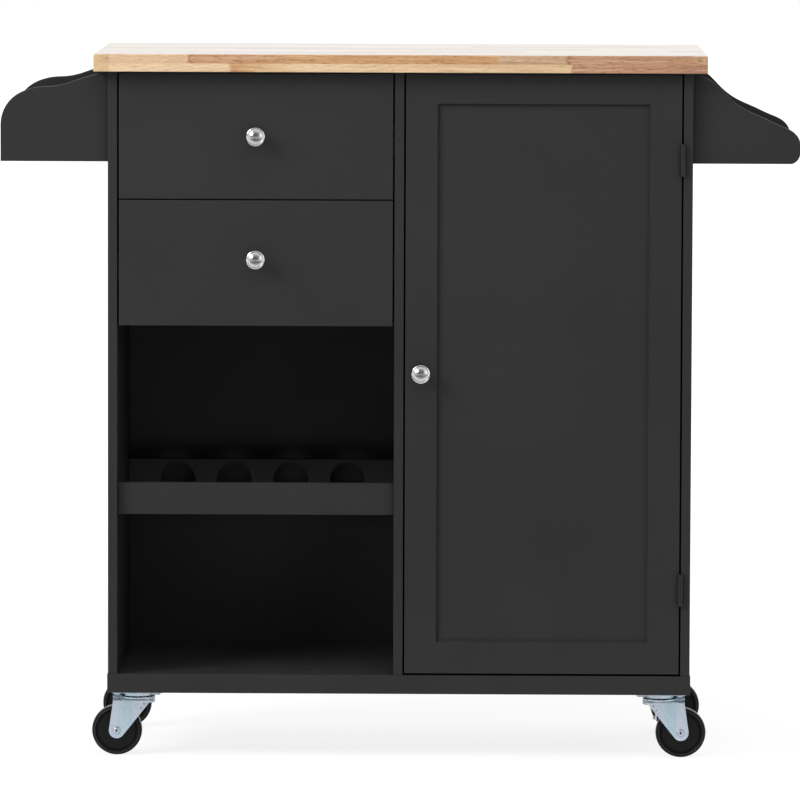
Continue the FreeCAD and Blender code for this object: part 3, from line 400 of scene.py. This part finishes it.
for knot_share in knot_shares:
    knot_x = top_low.x + knot_share * (top_high.x - top_low.x) + knot_reach
    sideways = reckon(tree, "DIVIDE", minus(tree, split["X"], knot_x), knot_reach)
    upwards = reckon(tree, "DIVIDE", minus(tree, split["Z"], top_high.z - knot_half), knot_half)
    rim = near(tree, apart(tree, sideways, upwards), rim_round, 0.0, rim_fade)
    left_side = reckon(tree, "LESS_THAN", sideways, 0.0)
    wood = layered(tree, wood, (times(tree, rim, left_side, in_front, rim_share), dash_brown))

# Glue shows as hairlines between staves and at the finger joints. The ends are darker end grain,
# the edges are rubbed pale, and the underside and its lower eased edge are painted dark as shade.
glue_brown, end_brown = srgb(110, 72, 46), srgb(150, 106, 72)
rubbed_wood, underside_shade_brown = srgb(238, 214, 182), srgb(34, 30, 27)
glue_share, end_share, rubbed_share = 0.4, 0.3, 0.2
end_facing, under_full, under_faded = 0.7, -0.75, -0.35
near_joint = between(tree, times(tree, joint["Distance"], block_length), 0.0, glue_line, 1.0, 0.0)
near_seam = between(tree, reckon(tree, "PINGPONG", inwards, stave_width / 2), 0.0, glue_line, 1.0, 0.0)
glue = times(tree, reckon(tree, "MAXIMUM", near_joint, near_seam), minus(tree, 1.0, in_front))
outward = parted(tree, facing(tree))
end_grain = reckon(tree, "GREATER_THAN", reckon(tree, "ABSOLUTE", outward["X"]), end_facing)
worn = laid(tree, rubbed_edges, Width=0.002, Patches=35.0)["Mask"]
wood = layered(tree, wood,
               (times(tree, glue, glue_share), glue_brown),
               (times(tree, end_grain, end_share), end_brown),
               (times(tree, worn, rubbed_share), rubbed_wood),
               (between(tree, outward["Z"], under_full, under_faded, 1.0, 0.0), underside_shade_brown))

# The lacquer is thinner over the hard late wood, and has a faint bloom at a low angle.
pore_depth, figure_share = -0.8, 0.4
full_lacquer, thin_lacquer = 1.0, 0.74
grain_height = plus(tree, fibre, times(tree, pores, pore_depth))
hardness = plus(tree, streak, times(tree, figure, figure_share))
lacquer = between(tree, hardness, 0.35, 0.95, full_lacquer, thin_lacquer)
fill(tree, shader, Base_Color=wood, Roughness=drifting(tree, streak, 0.38, 0.5),
     Normal=relief(tree, grain_height, strength=0.15, depth=0.0003),
     Coat_Weight=lacquer, Coat_Roughness=0.09, Sheen_Weight=0.25, Sheen_Roughness=0.35)
cover(rubberwood, "worktop")


# Two drawers: a 15 mm front screwed to a box of 12 mm boards with a 3 mm bottom in a groove,
# and the door, a board with a shallow field sunk in its face. All are sprayed like the carcass.
cover(paint, "door_panel", *[drawer + part for drawer in ("upper_drawer", "lower_drawer")
                             for part in ("_front", "_sides", "_back", "_bottom")])


# Runners, hinges and their pins are pressed steel, blackened in a bath and oiled, so their
# edges rub bright where they slide and turn.
oxide, rubbed_steel = srgb(20, 20, 22), srgb(92, 91, 90)
rubbed_through, oxide_metal, rubbed_metal = 0.6, 0.12, 0.9
black_steel, tree, shader = finish("black_steel")
skin = laid(tree, sprayed_skin, Fineness=1500.0)
worn = laid(tree, rubbed_edges, Width=0.0006, Patches=120.0)["Mask"]
rub = times(tree, worn, rubbed_through)
fill(tree, shader, Base_Color=layered(tree, oxide, (rub, rubbed_steel)),
     Metallic=between(tree, rub, 0.0, 1.0, oxide_metal, rubbed_metal),
     Roughness=drifting(tree, skin["Cloud"], 0.34, 0.46),
     Normal=relief(tree, skin["Height"], strength=0.15, depth=0.0001))
cover(black_steel, "cabinet_runners", "upper_drawer_runners", "lower_drawer_runners",
      "hinge_side_leaves", "hinge_door_leaves", "hinge_pins")


# The screws, shelf pins and strike plate, and all the steel of the casters, are mild steel that
# was plated with zinc after pressing. The plating is bluish and dull from the bath. Its sharp
# edges carry a painted highlight, and its corners and gaps painted shade.
lilac_film, green_film = srgb(208, 217, 232), srgb(190, 215, 226)
painted_edge_highlight, dull_zinc_and_shade, zinc_shade_black = srgb(250, 252, 254), srgb(84, 94, 98), srgb(14, 16, 18)
rolled_share, edge_highlight_share, zinc_shade_share = 0.16, 0.8, 0.5


def plated(name, marked=None):
    """The zinc finish, with the marks that one kind of piece has on it."""
    material, tree, shader = finish(name)
    place = own_place(tree)
    film = speckle(tree, place, (55.0, 55.0, 6.0), detail=2.0, rough=0.45, warp=0.2)
    rolled = speckle(tree, place, (260.0, 260.0, 14.0), detail=4.0)
    bath = speckle(tree, place, 900.0)
    worn = laid(tree, rubbed_edges, Width=0.0010, Patches=25.0)["Mask"]
    painted_shading = laid(tree, occluded_shade, Reach=0.004)
    plating = layered(tree, lilac_film, (between(tree, film, 0.40, 0.60), green_film),
                      (between(tree, rolled, 0.62, 0.36, 0.0, rolled_share), dull_zinc_and_shade))
    if marked:
        plating = marked(tree, plating)
    # Painted light: a near-white highlight along sharp edges, and painted shade in corners and gaps.
    plating = layered(tree, plating, (times(tree, worn, edge_highlight_share), painted_edge_highlight),
                      (times(tree, painted_shading["Film"], zinc_shade_share), dull_zinc_and_shade), (painted_shading["Gap_Shade"], zinc_shade_black))
    fill(tree, shader, Base_Color=plating, Metallic=0.92, Roughness=drifting(tree, rolled, 0.22, 0.34),
         Normal=relief(tree, bath, strength=0.05, depth=0.0001))
    return material


zinc = plated("bright_zinc")
cover(zinc, "cabinet_screws", "door_screws", "upper_drawer_screws", "lower_drawer_screws",
      "shelf_pins", "catch_plate", "caster_kingpins", "swivel_balls")


# The catch is a magnet in a white moulded case. It is screwed up under the front rail, where it
# holds the steel plate on the back of the door.
case_white, case_pale = srgb(214, 212, 206), srgb(224, 222, 217)
catch_plastic, tree, shader = finish("catch_plastic")
skin = laid(tree, sprayed_skin, Fineness=1200.0)
fill(tree, shader, Base_Color=layered(tree, case_white, (drifting(tree, skin["Cloud"]), case_pale)),
     Roughness=drifting(tree, skin["Cloud"], 0.38, 0.46),
     Normal=relief(tree, skin["Height"], strength=0.1, depth=0.0001))
cover(catch_plastic, "door_catch")


# The bottle rack between the drawers and the lower bay: a plain rail in front that the bottles
# lie on, and a board at the back with a sawn and sanded hole for each neck.
neck_rail_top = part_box("rack_neck_rail")[1].z
unshaded_lip = 0.001


def bored(tree, coat):
    """Painted shade: below the board's top, the faces that don't face front or back, chiefly the walls of
    the neck holes, are painted near-black.
    """
    wall = between(tree, reckon(tree, "ABSOLUTE", parted(tree, facing(tree))["Y"]), 0.4, 0.7, 1.0, 0.0)
    below = reckon(tree, "LESS_THAN", parted(tree, own_place(tree))["Z"], neck_rail_top - unshaded_lip)
    return layered(tree, coat, (times(tree, wall, below), gap_shade_black))


cover(paint, "rack_front_rail")
cover(sprayed("bored_paint", bored), "rack_neck_rail")


# The wings: shaped brackets screwed through the side panels, with a spice tray and its guard
# rail on the left and a turned towel bar on the right. All were sprayed with the carcass.
cover(paint, "spice_bracket_front", "spice_bracket_rear", "spice_tray", "spice_guard_rail",
      "towel_bracket_front", "towel_bracket_rear", "towel_bar")


# Three turned knobs, chromed and polished, each held by one screw through the drawer front or
# the door. The head is a shallow dome in a rolled rim, with a groove between them.
smooth_angle = math.radians(32)


def turned(name, outline, seat, around=96):
    """Turns a piece on a lathe: a disc drawn out along its axis, ring by ring, through
    (radius, reach) steps, then leant over to face the front and set on its seat."""
    bpy.ops.object.select_all(action="DESELECT")
    radius, reach = outline[0]
    bpy.ops.mesh.primitive_circle_add(vertices=around, radius=radius, fill_type="NGON",
                                      location=(0, 0, reach))
    piece = bpy.context.object
    piece.name = piece.data.name = name
    bpy.ops.object.transform_apply(location=True)
    bpy.ops.object.mode_set(mode="EDIT")
    bpy.ops.mesh.select_all(action="SELECT")
    for next_radius, next_reach in outline[1:]:
        bpy.ops.mesh.extrude_region_move(
            TRANSFORM_OT_translate={"value": (0, 0, next_reach - reach)})
        scale = next_radius / radius
        bpy.ops.transform.resize(value=(scale, scale, 1), center_override=(0, 0, next_reach))
        radius, reach = next_radius, next_reach
    bpy.ops.mesh.select_all(action="SELECT")
    bpy.ops.mesh.normals_make_consistent(inside=False)
    bpy.ops.object.mode_set(mode="OBJECT")
    distance = piece.data.attributes.new("from_axis", "FLOAT", "POINT")
    distance.data.foreach_set("value", [math.hypot(v.co.x, v.co.y) for v in piece.data.vertices])
    piece.rotation_euler, piece.location = (math.pi / 2, 0, 0), seat
    bpy.ops.object.transform_apply(location=True, rotation=True)
    bpy.ops.object.shade_smooth_by_angle(angle=smooth_angle)
    return piece


def from_axis(tree):
    """How far a point of a turned piece lies from its axis."""
    return add(tree, "Attribute", {"attribute_name": "from_axis"}).outputs["Fac"]


def fitted(piece, material, body, node):
    """Gives a new piece its finish and its body, and hides the node it stands for."""
    piece.data.materials.clear()
    piece.data.materials.append(material)
    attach(piece, body)
    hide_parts(node)


ring_step, ring_depth = 0.0004, 0.000016
# Painted reflection: the middle of the dome is painted grey and its outer part bright, in place of the dark
# and light that the polished head reflects.
dome_middle, dome_edge = 0.0030, 0.0095
dome_reflection_grey, rim_reflection_bright, rubbed_chrome = srgb(152, 151, 150), srgb(225, 226, 228), srgb(236, 234, 229)
chrome_wear = 0.5
chrome, tree, shader = finish("polished_chrome")
turning = reckon(tree, "SINE", times(tree, from_axis(tree), 2 * math.pi / ring_step))
smears = speckle(tree, own_place(tree), 180.0, detail=4.0, warp=0.8)
worn = laid(tree, rubbed_edges, Width=0.0004, Patches=200.0)["Mask"]
plate = layered(tree, dome_reflection_grey, (between(tree, from_axis(tree), dome_middle, dome_edge), rim_reflection_bright),
                (times(tree, worn, chrome_wear), rubbed_chrome))
fill(tree, shader, Base_Color=plate, Metallic=1.0, Roughness=between(tree, smears, 0.35, 0.65, 0.07, 0.13),
     Normal=relief(tree, turning, strength=0.7, depth=ring_depth))

knob_outline = [(0.0070, 0.0), (0.0070, 0.0016), (0.0066, 0.0021), (0.0050, 0.0026), (0.0046, 0.0040),
                (0.0046, 0.0110), (0.0052, 0.0132), (0.0078, 0.0143), (0.0106, 0.0147),
                (0.0117, 0.0154), (0.0120, 0.0165), (0.0120, 0.0180), (0.0117, 0.0190),
                (0.0110, 0.0195), (0.0102, 0.0196), (0.0098, 0.0193), (0.0095, 0.0193),
                (0.0091, 0.0198), (0.0080, 0.0207), (0.0064, 0.0216), (0.0046, 0.0223),
                (0.0028, 0.0228), (0.0012, 0.02297), (0.0003, 0.0230)]
for body in ("upper_drawer", "lower_drawer", "door"):
    low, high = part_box(body + "_knob")
    seat = Vector(((low.x + high.x) / 2, high.y, (low.z + high.z) / 2))
    fitted(turned(body + "_knob_turned", knob_outline, seat), chrome, body, body + "_knob")


# The casters' steel is pressed from 2 mm sheet: a top plate with a ball race, a fork bent down from
# its crown, and on the right a brake lever. The presses leave eased edges and two punch marks.
fork_low, fork_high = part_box("front_right_fork")
fork_middle = (fork_low.x + fork_high.x) / 2
punch_marks = ((fork_middle - 0.01585, fork_high.z - 0.0122),
               (fork_middle - 0.01195, fork_high.z - 0.0179))
punch_radius, punch_shade_share = 0.0015, 0.75
# Painted shadow: a band under the crown's rim, from 8.4 to 5.4 mm below the fork's top.
rim_shadow_low, rim_shadow_high, rim_shadow_fade = fork_high.z - 0.0084, fork_high.z - 0.0054, 0.0006
dimple_radius, dimple_edge = 0.0010, 0.0017
rivet_foot, rivet_edge, rivet_shade_share = 0.0038, 0.0044, 0.6
weld, easing = 0.00001, 0.0003
flat_angle, easing_angle = math.radians(1), math.radians(40)
corners = ("front_left", "front_right", "rear_left", "rear_right")
braked_corners = ("front_right", "rear_right")


def stamped(tree, plating):
    """Painted shade: dark spots for two punch dents low on the crown, which are not modelled, and a painted
    shadow band under the crown's rim, where the legs are bent down, in patches.
    """
    split = parted(tree, own_place(tree))
    outwards = reckon(tree, "ABSOLUTE", split["X"])
    for mark_x, mark_z in punch_marks:
        off = apart(tree, minus(tree, outwards, mark_x), minus(tree, split["Z"], mark_z))
        mark = between(tree, off, punch_radius / 2, punch_radius, punch_shade_share, 0.0)
        plating = layered(tree, plating, (mark, dull_zinc_and_shade))
    rim_shadow = times(tree, between(tree, split["Z"], rim_shadow_low, rim_shadow_low + rim_shadow_fade),
                   between(tree, split["Z"], rim_shadow_high - rim_shadow_fade, rim_shadow_high, 1.0, 0.0))
    patchy = between(tree, speckle(tree, own_place(tree), 90.0), 0.40, 0.58, 0.1, 0.75)
    return layered(tree, plating, (times(tree, rim_shadow, patchy), dull_zinc_and_shade))


def dimpled(tree, plating):
    """Painted shade: a dark spot in the middle of the axle's head for a riveting dimple that is not
    modelled, and a darker rim towards the fork.
    """
    return layered(tree, plating,
                   (between(tree, from_axis(tree), dimple_radius, dimple_edge, 1.0, 0.0), zinc_shade_black),
                   (between(tree, from_axis(tree), rivet_foot, rivet_edge, 0.0, rivet_shade_share), dull_zinc_and_shade))


def both_ways(half):
    """The outline of a piece that is alike to both sides of its middle."""
    return [(radius, -reach) for radius, reach in half] + [(radius, reach) for radius, reach in half[::-1]]


def pressed(node, material, body):
    """Puts a merged copy of a CAD piece in its place, with its pressed edges eased."""
    bpy.ops.object.select_all(action="DESELECT")
    piece = bpy.data.objects.new(node + "_pressed", nodes[node].data.copy())
    piece.data.name = piece.name
    scene.collection.objects.link(piece)
    piece.select_set(True)
    bpy.context.view_layer.objects.active = piece
    bpy.ops.object.mode_set(mode="EDIT")
    bpy.ops.mesh.select_all(action="SELECT")
    bpy.ops.mesh.remove_doubles(threshold=weld)
    bpy.ops.mesh.dissolve_limited(angle_limit=flat_angle)
    bpy.ops.mesh.normals_make_consistent(inside=False)
    bpy.ops.object.mode_set(mode="OBJECT")
    bevel = piece.modifiers.new("eased", "BEVEL")
    bevel.width, bevel.segments = easing, 2
    bevel.limit_method, bevel.angle_limit = "ANGLE", easing_angle
    bpy.ops.object.modifier_apply(modifier=bevel.name)
    bpy.ops.object.shade_smooth_by_angle(angle=smooth_angle)
    flats = piece.modifiers.new("flats", "WEIGHTED_NORMAL")
    flats.keep_sharp = True
    bpy.ops.object.modifier_apply(modifier=flats.name)
    fitted(piece, material, body, node)


fork_zinc, rivet_zinc = plated("pressed_zinc", stamped), plated("riveted_zinc", dimpled)
shank, head_seat = 0.0030, 0.0129
rivet_half = [(0.0002, 0.0132), (0.0010, 0.0133), (0.0015, 0.0139), (0.0020, 0.0142), (0.0028, 0.0143),
              (0.0036, 0.0141), (0.0042, 0.0137), (0.0045, 0.0132), (0.0046, head_seat),
              (shank, head_seat)]
pressed("caster_plates", zinc, "cabinet")
for corner in corners:
    pressed(corner + "_fork", fork_zinc, corner + "_caster")
    low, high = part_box(corner + "_axle")
    rivet = turned(corner + "_axle_turned", both_ways(rivet_half), (low + high) / 2, around=48)
    fitted(rivet, rivet_zinc, corner + "_caster", corner + "_axle")
for corner in braked_corners:
    pressed(corner + "_brake_lever", zinc, corner + "_brake")


# Four wheels, each moulded in one piece from black polyolefin: a crowned tread, a raised ring
# inside the rim, a shallow dish and a plain hub that turns on the axle.
ring_crest, ring_half = 0.0283, 0.0010
groove_middle, groove_half = 0.0256, 0.0020
tread_start, tread_full = 0.0297, 0.0319
moulded_black, moulded_grey, groove_shade_black = srgb(15, 15, 17), srgb(19, 19, 21), srgb(4, 4, 5)
scuff_grey, crest_highlight_grey = srgb(52, 51, 50), srgb(66, 66, 67)
scuff_share, worn_share, groove_shade_share, crest_highlight_share = 0.5, 0.35, 0.8, 0.5
wheel_black, tree, shader = finish("moulded_wheel")
place, axis_distance = own_place(tree), from_axis(tree)
skin = laid(tree, sprayed_skin, Fineness=900.0)
worn = laid(tree, rubbed_edges, Width=0.0012, Patches=90.0)["Mask"]
scuffs = between(tree, speckle(tree, place, 210.0, detail=6.0, rough=0.7, warp=1.0), 0.58, 0.72)
on_tread = between(tree, axis_distance, tread_start, tread_full)
scuffed = plus(tree, times(tree, scuffs, on_tread, scuff_share), times(tree, worn, worn_share))
# Painted highlight: the crest of the raised ring is laid lighter grey, in patches.
crest = near(tree, axis_distance, ring_crest, ring_half / 2, ring_half)
# Painted shade: the groove in the dish is laid near-black.
groove = near(tree, axis_distance, groove_middle, groove_half / 2, groove_half)
crest_patches = between(tree, speckle(tree, place, 70.0), 0.42, 0.60, 0.4, 1.0)
rubber = layered(tree, moulded_black, (drifting(tree, skin["Cloud"]), moulded_grey),
                 (times(tree, groove, groove_shade_share), groove_shade_black), (scuffed, scuff_grey),
                 (times(tree, crest, crest_patches, crest_highlight_share), crest_highlight_grey))
fill(tree, shader, Base_Color=rubber, Roughness=between(tree, scuffed, 0.0, 0.5, 0.28, 0.6),
     Normal=relief(tree, skin["Height"], strength=0.15, depth=0.0002), Specular_IOR_Level=0.16)

bore, hub_reach = 0.00312, 0.0105
half_wheel = [(bore, hub_reach), (0.0090, hub_reach), (0.0098, hub_reach), (0.0104, 0.0088),
              (0.0240, 0.0086), (0.0248, 0.0080), (0.0262, 0.0080), (0.0269, 0.0090), (0.0275, 0.0101),
              (0.0280, 0.0105), (0.0286, 0.0105), (0.0290, 0.0101), (0.0294, 0.0094), (0.0298, 0.0091),
              (0.0312, 0.0089), (0.0318, 0.0080), (0.0322, 0.0062), (0.0324, 0.0038), (0.0325, 0.0012)]
for corner in corners:
    low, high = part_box(corner + "_wheel")
    wheel = turned(corner + "_wheel_moulded", both_ways(half_wheel), (low + high) / 2, around=128)
    fitted(wheel, wheel_black, corner + "_wheel", corner + "_wheel")


# The studio: a pale floor that keeps the shadow and runs out to white, four soft lamps, a dark
# card laid in front that only the polished parts reflect, and a long lens at the height of a
# standing person, nearly square to the front.
floor_size = 60.0
pool_edge, white_edge = 0.5, 3.0
pool_glow, white_glow = 0.84, 1.0
mirrored_pool, mirrored_white = 0.30, 0.75
card_start, card_full, card_fading, card_end = -0.80, -0.95, -2.4, -2.9
card_share = 0.92
floor_grey, mirrored_grey = (0.20, 0.20, 0.20, 1.0), (0.8, 0.8, 0.8, 1.0)
white = (1.0, 1.0, 1.0, 1.0)

bpy.ops.object.select_all(action="DESELECT")
bpy.ops.mesh.primitive_plane_add(size=floor_size, location=(0, 0, 0))
floor = bpy.context.object
floor.name = "floor"
floor_paint, tree, shader = finish("pale_floor")
place = own_place(tree)
seen = add(tree, "LightPath").outputs
distance = reckon(tree, "LENGTH", place, kind="VectorMath", result="Value")
forward = parted(tree, place)["Y"]
card = times(tree, between(tree, forward, card_start, card_full, 0.0, card_share),
             between(tree, forward, card_fading, card_end, 1.0, 0.0), seen["Is Glossy Ray"])
mirrored = layered(tree, mirrored_grey, (card, black))
glow = between(tree, distance, pool_edge, white_edge, pool_glow, white_glow)
mirrored_glow = between(tree, distance, pool_edge, white_edge, mirrored_pool, mirrored_white)
shown = plus(tree, times(tree, seen["Is Camera Ray"], glow),
             times(tree, mirrored_glow, minus(tree, seen["Is Glossy Ray"], card)))
fill(tree, shader, Base_Color=layered(tree, mirrored, (seen["Is Camera Ray"], floor_grey)), Roughness=0.9,
     Emission_Color=white, Emission_Strength=shown)
floor.data.materials.append(floor_paint)

# The room is white where the camera looks at it. The polished parts reflect a dark wall behind the
# lens and white ones beside it, and a low even light comes more from the back and from above.
straight_behind, well_aside = -0.95, -0.25
lens_wall, side_wall = 0.22, 0.99
front_light, back_light = 0.16, 0.30
level_share, upper_share = 0.6, 1.2
world = bpy.data.worlds.new("studio")
scene.world = world
world.use_nodes = True
tree = world.node_tree
seen = add(tree, "LightPath").outputs
towards = parted(tree, tree.nodes.new("ShaderNodeTexCoord").outputs["Generated"])
walls = between(tree, towards["Y"], straight_behind, well_aside, lens_wall, side_wall)
around = times(tree, between(tree, towards["Y"], -0.9, 0.0, front_light, back_light),
               between(tree, towards["Z"], 0.0, 0.8, level_share, upper_share))
direct = reckon(tree, "MAXIMUM", seen["Is Camera Ray"], seen["Is Transmission Ray"])
fill(tree, tree.nodes["Background"],
     Color=layered(tree, around, (seen["Is Glossy Ray"], walls), (direct, white)))

island_middle = Vector((0.0, 0.0, 0.45))
for name, spot, width, power, reflected in (("key", (-3.3, -2.4, 2.9), 2.0, 132.0, True),
                                            ("overhead", (0.3, -2.3, 3.7), 2.6, 52.0, False),
                                            ("fill", (3.4, -2.8, 1.8), 2.4, 18.0, True),
                                            ("back", (1.6, 3.4, 2.2), 2.0, 40.0, False)):
    lamp = bpy.data.lights.new(name, "AREA")
    lamp.shape, lamp.size, lamp.energy = "SQUARE", width, power
    holder = bpy.data.objects.new(name, lamp)
    scene.collection.objects.link(holder)
    holder.location = spot
    holder.rotation_euler = (island_middle - Vector(spot)).to_track_quat("-Z", "Y").to_euler()
    holder.visible_camera, holder.visible_glossy = False, reflected

# The camera stands 9.2 m in front and 1.26 m up, fitted to the corners of the worktop, the cabinet,
# the bays and the casters.
lens_place = Vector((0.09781, -9.15762, 1.25617))
lens_dip, lens_turn, lens_roll = 0.08779, 0.01082, 0.00338
lens_length, film_width = 315.67, 36.0
camera = bpy.data.objects.new("camera", bpy.data.cameras.new("camera"))
scene.collection.objects.link(camera)
camera.data.lens, camera.data.sensor_width = lens_length, film_width
camera.data.clip_end = 100.0
camera.location = lens_place
camera.rotation_euler = (Matrix.Rotation(lens_turn, 3, "Z")
                         @ Matrix.Rotation(math.pi / 2 - lens_dip, 3, "X")
                         @ Matrix.Rotation(lens_roll, 3, "Z")).to_euler()
scene.camera = camera
scene.view_settings.view_transform = "Standard"
